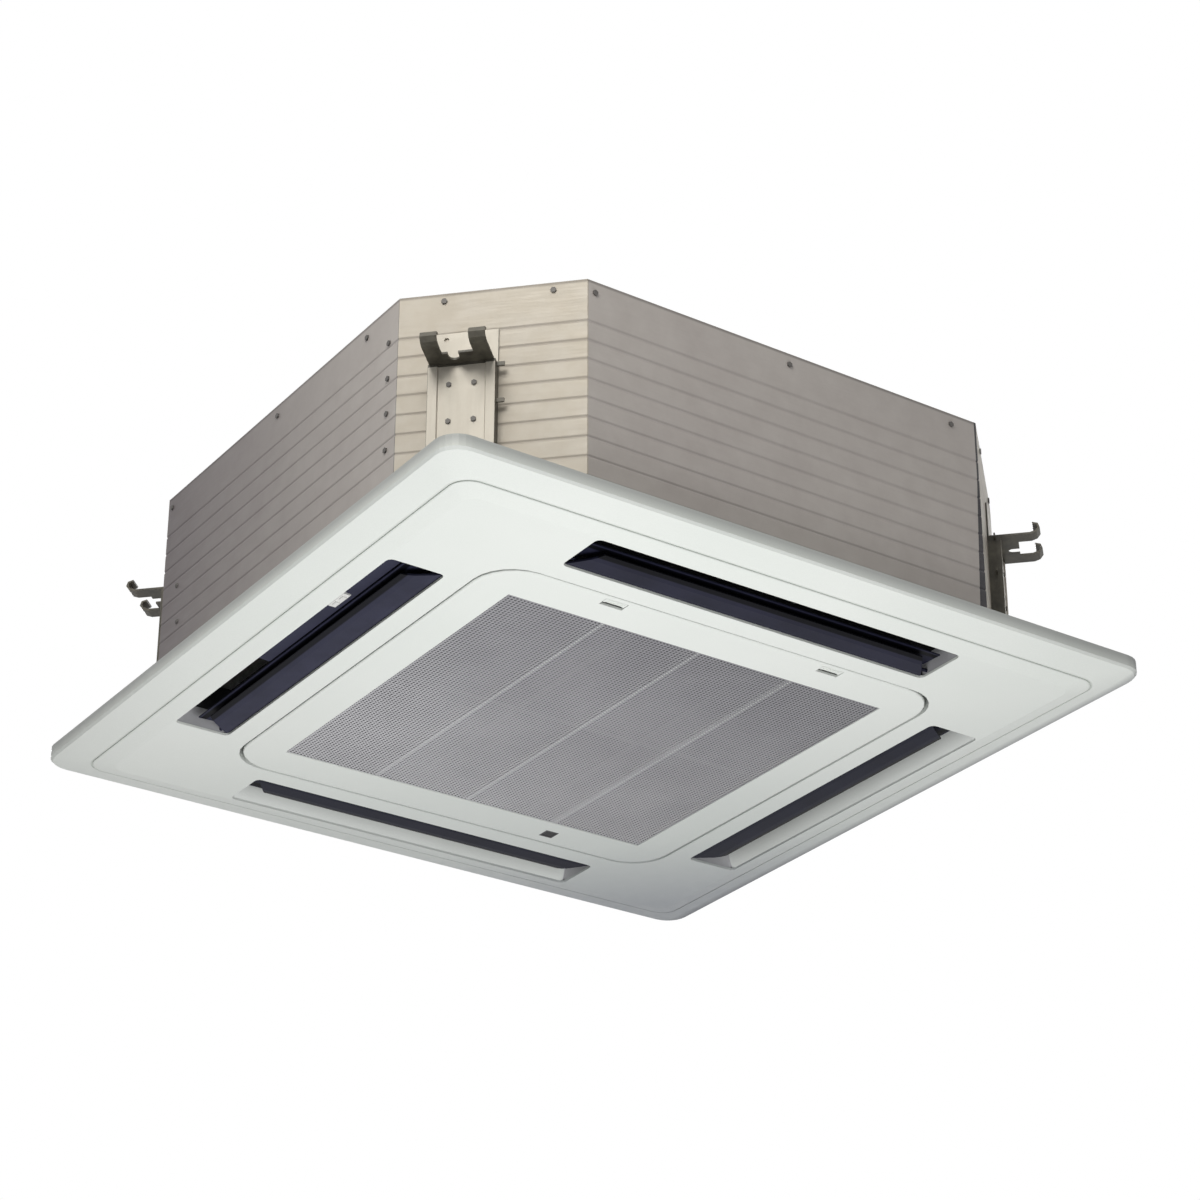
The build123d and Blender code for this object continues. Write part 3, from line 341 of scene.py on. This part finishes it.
def panel_white():
    """Moulded white plastic, dark round the receiver window. Painted shade makes it grey in the groove
    that frames the panel, and darker toward the far corner, the right rim and the top of the outer lip."""
    groove = (0.8 * MM, 2.8 * MM)
    near_half_shade = (0.0, 500.0 * MM)
    far_corner_shade = (500.0 * MM, 790.0 * MM)
    right_rim_shade = (456.0 * MM, 472.0 * MM)
    window_edge = (9.2 * MM, 9.6 * MM)
    lip_shade_rise = (16.5 * MM, 26.5 * MM)
    lip_skin = 0.4 * MM

    s = Shader("panel_white")
    x, y, z = s.axes()
    diagonal = s.maths("ADD", x, y)
    off_groove = s.maths("ABSOLUTE", s.off_square(GROOVE_HALF, GROOVE_CORNER))
    off_window = s.maths("MAXIMUM", s.apart(x, WINDOW_X), s.apart(y, WINDOW_Y))
    on_lip = s.maths("GREATER_THAN", s.off_square(PANEL_HALF, PANEL_CORNER), -lip_skin)

    base = s.ramp(s.noise(2.2), (0.80, 0.835, 0.795), (0.845, 0.872, 0.835))
    specks = s.ramp(s.noise(700.0, detail=2.0), (0.94, 0.94, 0.94), WHITE)
    colour = s.over(base, specks, 0.5)
    # painted shade: grey along the groove that frames the panel
    colour = s.shade(colour, off_groove, (0.80, 0.81, 0.80), WHITE, *groove)
    # painted shade: the panel darkens from its middle toward the far corner
    colour = s.shade(colour, diagonal, WHITE, (0.86, 0.87, 0.88), *near_half_shade)
    colour = s.shade(colour, diagonal, WHITE, (0.61, 0.615, 0.67), *far_corner_shade)
    # painted shade: darker on the sloped right rim
    colour = s.shade(colour, x, WHITE, (0.50, 0.50, 0.52), *right_rim_shade)
    colour = s.shade(colour, off_window, (0.012, 0.012, 0.014), WHITE, *window_edge)
    # painted shade: the outer lip darkens toward its top
    s.colour(s.over(colour, s.ramp(z, WHITE, (0.66, 0.66, 0.67), *lip_shade_rise), on_lip))
    s.rough(s.span(s.noise(60.0), 0.42, 0.55))
    s.bump(s.noise(1400.0, detail=2.0), 0.35, 0.02 * MM)
    s.bump(s.noise(14.0), 0.25, 0.3 * MM)
    return s.material


def duct_inside(turns):
    """The outlet behind one slot: white moulding like the panel. Painted shade makes it grey on its end
    walls and black on its inner wall."""
    end_wall = (247.8 * MM, 248.4 * MM)
    inner_wall = (339.0 * MM, 341.0 * MM)

    s = Shader("duct_inside_" + SIDES[turns])
    along, out, _ = s.axes(s.turned(turns))
    white = s.ramp(s.noise(6.0), (0.78, 0.81, 0.78), (0.83, 0.86, 0.83))
    # painted shade: the grey laid on the end walls
    end_wall_shade = s.ramp(s.noise(25.0), (0.44, 0.44, 0.46), (0.54, 0.54, 0.56))
    # painted shade: the black laid on the inner wall deep in the outlet
    inner_wall_shade = s.ramp(s.noise(40.0), (0.006, 0.006, 0.008), (0.014, 0.014, 0.018))
    at_end = s.span(s.maths("ABSOLUTE", along), 0.0, 1.0, *end_wall)
    inside = s.span(s.maths("MULTIPLY", out, -1.0), 1.0, 0.0, *inner_wall)
    s.colour(s.over(s.over(white, end_wall_shade, at_end, "MIX"), inner_wall_shade, inside, "MIX"))
    s.rough(s.span(s.noise(300.0), 0.5, 0.7))
    s.bump(s.noise(900.0), 0.3, 0.03 * MM)
    return s.material


# The casing's own centre lies CASING_SHIFT toward +X and +Y. About that centre, |x| + |y| is
# CHAMFER_SUM on its chamfers.
CASING_SHIFT = 7.0 * MM
CASING_HALF = 427.0 * MM
CHAMFER_LEG = 150.0 * MM
CHAMFER_SUM = 2 * CASING_HALF - CHAMFER_LEG
BEAD_FIRST = 42.0 * MM
BEAD_PITCH = 24.3 * MM
BEAD_COUNT = 10
BEAD_LAST = BEAD_FIRST + (BEAD_COUNT - 1) * BEAD_PITCH


def casing_steel(name, turns=0):
    """Coated sheet steel: a pale warm tone, rolling streaks, fine clouds, a darker rim, and cream on
    the chamfers. Painted shade darkens its bead lines, runs as a dark seam up one end of each side's
    face, and darkens the left side toward its other end."""
    left = SIDES[turns] == "left"
    bead_shade_line = (1.0 * MM, 3.0 * MM)
    rim_rise = (309.5 * MM, 312.0 * MM)
    left_shade_span = (-280.0 * MM, 280.0 * MM)
    seam_rise = (50.0 * MM, 240.0 * MM)
    seam_width = (2.2 * MM, 1.2 * MM) if left else (11.0 * MM, 3.0 * MM)
    seam_shade_low = (0.26, 0.24, 0.23) if left else (0.020, 0.018, 0.022)
    seam_shade_high = (0.36, 0.34, 0.32) if left else (0.060, 0.055, 0.060)

    s = Shader(name)
    x, y, z = s.axes(s.turned(turns, CASING_SHIFT))
    clouds = s.noise(34.0, detail=5.0, roughness=0.6)
    base = s.ramp(clouds, (0.515, 0.477, 0.448), (0.565, 0.529, 0.497), 0.3, 0.7)
    streaks = s.noise(9.0, detail=5.0, place=s.stretched((3.0, 3.0, 60.0)))
    tone = s.ramp(streaks, (0.93, 0.92, 0.92), WHITE, 0.3, 0.7)
    dust = s.ramp(s.noise(4.0, detail=4.0), (0.93, 0.92, 0.93), WHITE, 0.3, 0.6)
    colour = s.over(s.over(base, tone, 0.6), dust, 0.8)

    off_bead = s.maths("PINGPONG", s.maths("SUBTRACT", z, BEAD_FIRST), BEAD_PITCH / 2)
    beaded = s.maths("LESS_THAN", z, BEAD_LAST + 5.0 * MM)
    # painted shade: darker along the bead lines
    colour = s.over(colour, s.ramp(off_bead, (0.86, 0.85, 0.86), WHITE, *bead_shade_line), beaded)
    colour = s.shade(colour, z, WHITE, (0.55, 0.54, 0.54), *rim_rise)

    slant = s.maths("ADD", s.maths("ABSOLUTE", x), s.maths("ABSOLUTE", y))
    chamfer = s.maths("GREATER_THAN", slant, CHAMFER_SUM - 1.5 * MM)
    colour = s.over(colour, s.ramp(clouds, (1.0, 0.975, 0.86), (1.0, 0.985, 0.90)), chamfer)
    # painted shade: the left face darkens along its length, away from its seam end
    if left:
        colour = s.shade(colour, x, (0.37, 0.35, 0.38), (1.03, 1.03, 1.03), *left_shade_span)

    # painted shade: a dark wedge up the joint at one end of each face
    from_edge = s.maths("SUBTRACT", CASING_HALF - CHAMFER_LEG, x)
    in_seam_shade = s.maths("LESS_THAN", from_edge, s.span(z, *seam_width, *seam_rise))
    facing = s.maths("LESS_THAN", y, -CASING_HALF + 3.0 * MM)
    seam = s.maths("MULTIPLY", in_seam_shade, facing)
    s.colour(s.over(colour, s.ramp(clouds, seam_shade_low, seam_shade_high), seam, "MIX"))
    s.rough(s.span(streaks, 0.45, 0.60))
    s.bump(clouds, 0.12, 0.04 * MM)
    s.bump(s.noise(14.0), 0.10, 0.5 * MM)
    s.set(Metallic=0.12)
    return s.material


def hook_steel():
    """The hook's channel is plain like the casing; painted shade darkens its shelf, prongs and side
    barbs.
    """
    shelf_z = 221.0 * MM
    shelf_reach = 10.7 * MM    # above and below shelf_z
    shelf_from = 4.5 * MM    # past CHAMFER_SUM
    hook_middle = 30.0 * MM    # along the chamfer, from its middle
    barb_from = 37.4 * MM    # along the chamfer, from hook_middle

    s = Shader("hook_steel")
    clouds = s.noise(38.0, detail=4.0, roughness=0.6)
    pale = s.ramp(clouds, (0.530, 0.490, 0.420), (0.605, 0.565, 0.490), 0.3, 0.7)
    # painted shade: the dark laid on the shelf, prongs and side barbs
    dark = s.ramp(clouds, (0.050, 0.046, 0.034), (0.150, 0.138, 0.110), 0.35, 0.68)
    drawn = s.noise(160.0, detail=2.0, place=s.stretched((1.0, 1.0, 0.12)))
    lines = s.ramp(drawn, (0.93, 0.92, 0.91), WHITE, 0.35, 0.6)

    x, y, z = s.axes(s.vectors("ABSOLUTE", s.turned(0, CASING_SHIFT)))
    out = s.maths("SUBTRACT", s.maths("ADD", x, y), CHAMFER_SUM + shelf_from)
    band = s.maths("LESS_THAN", s.apart(z, shelf_z), shelf_reach)
    shelf = s.maths("MULTIPLY", band, s.maths("GREATER_THAN", out, 0.0))
    along = s.maths("MULTIPLY", s.maths("SUBTRACT", x, y), math.sqrt(0.5))
    barb = s.maths("GREATER_THAN", s.apart(along, hook_middle), barb_from)
    s.colour(s.over(s.over(pale, dark, s.maths("MAXIMUM", shelf, barb), "MIX"), lines, 0.7))
    s.rough(s.span(clouds, 0.40, 0.55))
    s.bump(drawn, 0.2, 0.02 * MM)
    s.set(Metallic=0.15)
    return s.material


def brushed(name, low, high, metallic, roughness):
    """Bare or plated metal with fine drawn lines."""
    s = Shader(name)
    lines = s.noise(25.0, detail=6.0, place=s.stretched((3.0, 3.0, 60.0)))
    blotch = s.ramp(s.noise(22.0), (0.86, 0.86, 0.86), WHITE)
    s.colour(s.over(s.ramp(lines, low, high, 0.3, 0.7), blotch, 0.6))
    s.rough(s.span(lines, roughness - 0.08, roughness + 0.1))
    s.bump(lines, 0.25, 0.04 * MM)
    s.set(Metallic=metallic)
    return s.material


def louver_navy():
    """Dark blue plastic. Painted shade makes it darker in the front slot and the two far ones, and
    lays a black line on the blades' outer lip."""
    front_slot_shade = (-300.0 * MM, -260.0 * MM)
    far_slot_shade = (270.0 * MM, 300.0 * MM)
    lip_shade_band = (371.0 * MM, 372.5 * MM)
    lip_shade_end = 379.5 * MM

    s = Shader("louver_navy")
    x, y, _ = s.axes()
    out = s.maths("MAXIMUM", s.maths("ABSOLUTE", x), s.maths("ABSOLUTE", y))
    grain = s.noise(1100.0, detail=3.0)
    colour = s.ramp(s.noise(18.0), (0.022, 0.023, 0.042), (0.030, 0.031, 0.057))
    # painted shade: darker in the front slot
    colour = s.shade(colour, y, (0.50, 0.50, 0.56), WHITE, *front_slot_shade)
    # painted shade: darker in the two far slots
    colour = s.shade(colour, s.maths("MAXIMUM", x, y), WHITE, (0.36, 0.38, 0.42), *far_slot_shade)
    # painted shade: a black line on the blades' outer lip, for the gap between the two blades
    lip = s.ramp(out, WHITE, (0.12, 0.12, 0.12), *lip_shade_band)
    s.colour(s.over(colour, lip, s.maths("LESS_THAN", out, lip_shade_end)))
    s.rough(s.span(grain, 0.42, 0.56))
    s.bump(grain, 0.4, 0.03 * MM)
    s.set(Specular_IOR_Level=0.10)
    return s.material


def mesh_grey():
    """The grille's sheet: grey, with painted shade that lightens from its front right corner to its
    back left one.
    """
    slope = 0.26
    sheet_shade_span = (-260.0 * MM, 260.0 * MM)

    s = Shader("mesh_grey")
    x, y, _ = s.axes()
    across = s.maths("SUBTRACT", y, s.maths("MULTIPLY", x, slope))
    base = s.ramp(s.noise(6.0), (0.50, 0.495, 0.515), (0.57, 0.565, 0.585))
    # painted shade: the grey lightens across the sheet
    s.colour(s.shade(base, across, (0.50, 0.50, 0.51), (1.02, 1.02, 1.02), *sheet_shade_span))
    s.rough(s.span(s.noise(400.0), 0.45, 0.6))
    s.bump(s.noise(1500.0), 0.3, 0.02 * MM)
    return s.material


def filter_net():
    """A woven net, dark between its threads."""
    threads = 190.0
    gap = (0.25, 0.25, 0.25)

    s = Shader("filter_net")
    across = s.ramp(s.bands(threads, "X"), gap, WHITE)
    along = s.ramp(s.bands(threads, "Y"), gap, WHITE)
    weave = s.over(across, along, 0.5, "ADD")
    base = s.ramp(s.noise(12.0), (0.13, 0.13, 0.14), (0.19, 0.19, 0.20))
    s.colour(s.over(base, weave, 0.6))
    s.rough(s.span(s.noise(300.0), 0.7, 0.9))
    s.bump(weave, 0.5, 0.2 * MM)
    return s.material


FOAM_BEADS = 330.0


def foam_white():
    """Pale bead foam."""
    s = Shader("foam_white")
    beads = s.cells(FOAM_BEADS)
    base = s.ramp(s.noise(8.0), (0.78, 0.78, 0.76), (0.86, 0.86, 0.84))
    s.colour(s.over(base, s.ramp(beads, WHITE, (0.82, 0.82, 0.82), 0.2, 0.8), 0.7))
    s.rough(s.span(beads, 0.7, 0.9))
    s.bump(beads, 0.5, -0.4 * MM)
    return s.material


def foam_charcoal():
    """The foam that lines the outlets, made dark as painted shade."""
    s = Shader("foam_charcoal")
    beads = s.cells(FOAM_BEADS)
    s.colour(s.ramp(beads, (0.014, 0.014, 0.016), (0.030, 0.030, 0.034), 0.2, 0.8))
    s.rough(s.span(beads, 0.75, 0.95))
    s.bump(beads, 0.5, -0.4 * MM)
    return s.material


def fin_aluminium():
    """Aluminium fins, drawn out from top to bottom."""
    s = Shader("fin_aluminium")
    fins = s.cells(1.0, place=s.stretched((500.0, 500.0, 1.0)))
    s.colour(s.ramp(fins, (0.32, 0.34, 0.36), (0.74, 0.76, 0.78), 0.1, 0.7))
    s.rough(s.span(fins, 0.3, 0.5))
    s.bump(fins, 0.5, 0.5 * MM)
    s.set(Metallic=0.8)
    return s.material


def board_green():
    """A circuit board with its tracks."""
    s = Shader("board_green")
    tracks = s.cells(240.0, feature="DISTANCE_TO_EDGE")
    s.colour(s.ramp(tracks, (0.03, 0.14, 0.07), (0.05, 0.24, 0.12), 0.02, 0.1))
    s.rough(s.span(s.noise(90.0), 0.25, 0.4))
    s.bump(tracks, 0.3, 0.1 * MM)
    return s.material


def window_black():
    """The receiver's dark window."""
    s = Shader("window_black")
    s.colour(s.ramp(s.noise(90.0), (0.008, 0.008, 0.010), (0.016, 0.016, 0.018)))
    s.rough(s.span(s.noise(500.0), 0.16, 0.26))
    s.set(Specular_IOR_Level=0.12)
    return s.material


# name: darker colour, lighter colour, noise scale, roughness, and the grain's scale if it differs
PLAIN_FINISHES = {
    "motor_grey": ((0.25, 0.25, 0.26), (0.31, 0.31, 0.32), 20, 0.5),
    "filter_frame": ((0.17, 0.175, 0.18), (0.22, 0.225, 0.235), 10, 0.5),
    "rubber_black": ((0.015, 0.015, 0.016), (0.03, 0.03, 0.03), 40, 0.75, 500),
    "plain_plastic": ((0.66, 0.66, 0.64), (0.74, 0.74, 0.72), 8, 0.5),
}

# name: darker colour, lighter colour, metallic, roughness
METALS = {
    "plated_steel": ((0.085, 0.08, 0.075), (0.18, 0.17, 0.16), 0.35, 0.55),
    "galvanised": ((0.42, 0.43, 0.44), (0.58, 0.59, 0.60), 0.7, 0.42),
    "copper": ((0.62, 0.30, 0.18), (0.86, 0.50, 0.32), 1.0, 0.28),
}


def make_materials():
    """One material for each of the record's slots."""
    made = {
        "panel_white": panel_white(),
        "casing_steel": casing_steel("casing_steel"),
        "hook_steel": hook_steel(),
        "louver_navy": louver_navy(),
        "mesh_grey": mesh_grey(),
        "filter_net": filter_net(),
        "foam_white": foam_white(),
        "foam_charcoal": foam_charcoal(),
        "fin_aluminium": fin_aluminium(),
        "board_green": board_green(),
        "window_black": window_black(),
    }
    for name, values in PLAIN_FINISHES.items():
        made[name] = finish(name, *values)
    for name, values in METALS.items():
        made[name] = brushed(name, *values)
    return made


def dress_nodes():
    """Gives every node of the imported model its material."""
    slots = {part["node"]: part["material_slot"] for part in frame["record"]["subparts"]}
    # painted shade: the outlet frame and seals take the dark foam
    own = {name: MATERIALS["foam_charcoal"] for name in ("outlet_frame", "outlet_seals")}
    for turns, side in enumerate(SIDES):
        own["outlet_duct_" + side] = duct_inside(turns)
        own["casing_panel_" + side] = casing_steel("casing_steel_" + side, turns)
    for name, node in frame["nodes"].items():
        material = own.get(name) or MATERIALS[slots[name]]
        if not node.material_slots:
            node.data.materials.append(material)
        for slot in node.material_slots:
            slot.material = material


# ---- the meshes of the pieces --------------------------------------------------------------------

X_AXIS = Vector((1, 0, 0))
Y_AXIS = Vector((0, 1, 0))
Z_AXIS = Vector((0, 0, 1))


def add_mesh(name, shape, body, slot):
    """A piece from a shape, riding on a body, in one of the record's material slots."""
    mesh = bpy.data.meshes.new(name)
    mesh.from_pydata([tuple(v) for v in shape.verts], [], shape.faces)
    mesh.validate()
    mesh.update()
    piece = bpy.data.objects.new(name, mesh)
    bpy.context.scene.collection.objects.link(piece)
    mesh.materials.append(MATERIALS[slot])
    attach(piece, body)
    return piece


class Shape:
    """Gathers the points and faces of one piece."""

    def __init__(self):
        self.verts = []
        self.faces = []

    def bar(self, section, start, end, side, up):
        """A closed section of (side, up) offsets swept straight from start to end, with capped ends."""
        base = len(self.verts)
        count = len(section)
        for point in (start, end):
            for a, b in section:
                self.verts.append(Vector(point) + a * side + b * up)
        for i in range(count):
            j = (i + 1) % count
            self.faces.append((base + i, base + j, base + count + j, base + count + i))
        self.faces.append(tuple(base + i for i in reversed(range(count))))
        self.faces.append(tuple(base + count + i for i in range(count)))


def in_metres(section):
    """A section drawn in millimetres."""
    return [(a * MM, b * MM) for a, b in section]


def grille_sheet():
    """The perforated sheet: fine bars both ways leave square holes, with a plain border."""
    pitch = 4.7 * MM
    width = 2.1 * MM
    depth = 0.5 * MM
    border = 3.4 * MM
    border_depth = 0.6 * MM
    tuck = 0.6    # the share of the border that is clear of the bars' ends
    above = 0.06 * MM    # the second layer of bars lies this far above the first

    low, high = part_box("grille_mesh")
    round_bar = [(-width / 2, depth), (-width / 2, depth / 2), (-width / 4, 0.0),
                 (width / 4, 0.0), (width / 2, depth / 2), (width / 2, depth)]
    flat_border = [(0, 0), (border, 0), (border, border_depth), (0, border_depth)]
    z = low.z + 0.1 * MM
    inner_low = low + Vector((border, border, 0)) * tuck
    inner_high = high - Vector((border, border, 0)) * tuck
    columns = round((inner_high.x - inner_low.x) / pitch)
    rows = round((inner_high.y - inner_low.y) / pitch)

    shape = Shape()
    for i in range(1, columns):
        x = inner_low.x + (inner_high.x - inner_low.x) * i / columns
        shape.bar(round_bar, (x, inner_low.y, z), (x, inner_high.y, z), X_AXIS, Z_AXIS)
    for i in range(1, rows):
        y = inner_low.y + (inner_high.y - inner_low.y) * i / rows
        ends = [(x, y, z + above) for x in (inner_high.x, inner_low.x)]
        shape.bar(round_bar, *ends, Y_AXIS, Z_AXIS)
    shape.bar(flat_border, (low.x, low.y, z), (low.x, high.y, z), X_AXIS, Z_AXIS)
    shape.bar(flat_border, (high.x, high.y, z), (high.x, low.y, z), -X_AXIS, Z_AXIS)
    shape.bar(flat_border, (high.x, low.y, z), (low.x, low.y, z), Y_AXIS, Z_AXIS)
    shape.bar(flat_border, (low.x, high.y, z), (high.x, high.y, z), -Y_AXIS, Z_AXIS)
    piece = add_mesh("grille_sheet", shape, "grille", "mesh_grey")
    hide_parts("grille_mesh")


# Places and sections of the small trim, in millimetres.
GUIDE_X = -383.4    # clear of the left louver's swing
GUIDE_Z = 12.6
GUIDE_FRONT = -248.6
GUIDE_BACK = 64
GUIDE_STRIP = [(0, 0), (0.8, -1.0), (21.6, 0.6), (22.0, 2.0), (1.2, 1.2), (0, 1.4)]
CLIP_X = -395
CLIP_BODY = [(-5, 0.6), (-5, -1.6), (-4.2, -2.4), (4.2, -2.4), (5, -1.6), (5, 0.6)]
CLIP_TAB = [(-3, -2.4), (-2.4, -3.6), (2.4, -3.6), (3, -2.4)]
CLIP_RUNS = ((CLIP_BODY, -133, -99), (CLIP_TAB, -128, -119), (CLIP_TAB, -113, -104))
SCREW_X = -419.9
SCREW_SPOTS = ((246.4, 178.6), (239.5, 126.9))
# radius and height of each ring of a screw's head, from the face outward
SCREW_RINGS = ((3.4, 0.0), (3.4, 0.7), (2.7, 1.6), (1.5, 2.1), (0.9, 2.1), (0.7, 1.5))
SCREW_STEPS = 14


def outlet_guide():
    """A dark guide strip above the left louver: it runs from the front end to past the middle."""
    start, end = (Vector((GUIDE_X, y, GUIDE_Z)) * MM for y in (GUIDE_FRONT, GUIDE_BACK))
    shape = Shape()
    shape.bar(in_metres(GUIDE_STRIP), start, end, -X_AXIS, Z_AXIS)
    add_mesh("outlet_guide", shape, "unit", "louver_navy")


def outlet_clip():
    """A pale clip that hangs under the guide strip, with two tabs."""
    shape = Shape()
    for section, front, back in CLIP_RUNS:
        ends = [Vector((CLIP_X, y, GUIDE_Z)) * MM for y in (front, back)]
        shape.bar(in_metres(section), *ends, -X_AXIS, Z_AXIS)
    add_mesh("outlet_clip", shape, "unit", "plain_plastic")


def side_screws():
    """Two dark pan-head screws near the end of the left casing face."""
    shape = Shape()
    for y, z in SCREW_SPOTS:
        base = len(shape.verts)
        for radius, height in SCREW_RINGS:
            for step in range(SCREW_STEPS):
                angle = 2 * math.pi * step / SCREW_STEPS
                across = radius * math.cos(angle)
                rise = radius * math.sin(angle)
                shape.verts.append(Vector((SCREW_X - height, y + across, z + rise)) * MM)
        for ring in range(len(SCREW_RINGS) - 1):
            near = base + ring * SCREW_STEPS
            far = near + SCREW_STEPS
            for step in range(SCREW_STEPS):
                after = (step + 1) % SCREW_STEPS
                shape.faces.append((near + step, far + step, far + after, near + after))
        last = base + (len(SCREW_RINGS) - 1) * SCREW_STEPS
        shape.faces.append(tuple(last + step for step in reversed(range(SCREW_STEPS))))
        shape.faces.append(tuple(base + step for step in range(SCREW_STEPS)))
    add_mesh("side_screws", shape, "unit", "plated_steel")


# ---- put it together -----------------------------------------------------------------------------

MATERIALS = make_materials()
dress_nodes()
grille_sheet()
outlet_guide()
outlet_clip()
side_screws()
add_camera()
add_floor()
add_world()
for lamp in LAMPS:
    add_lamp(*lamp)

bpy.context.scene.view_settings.view_transform = "Standard"
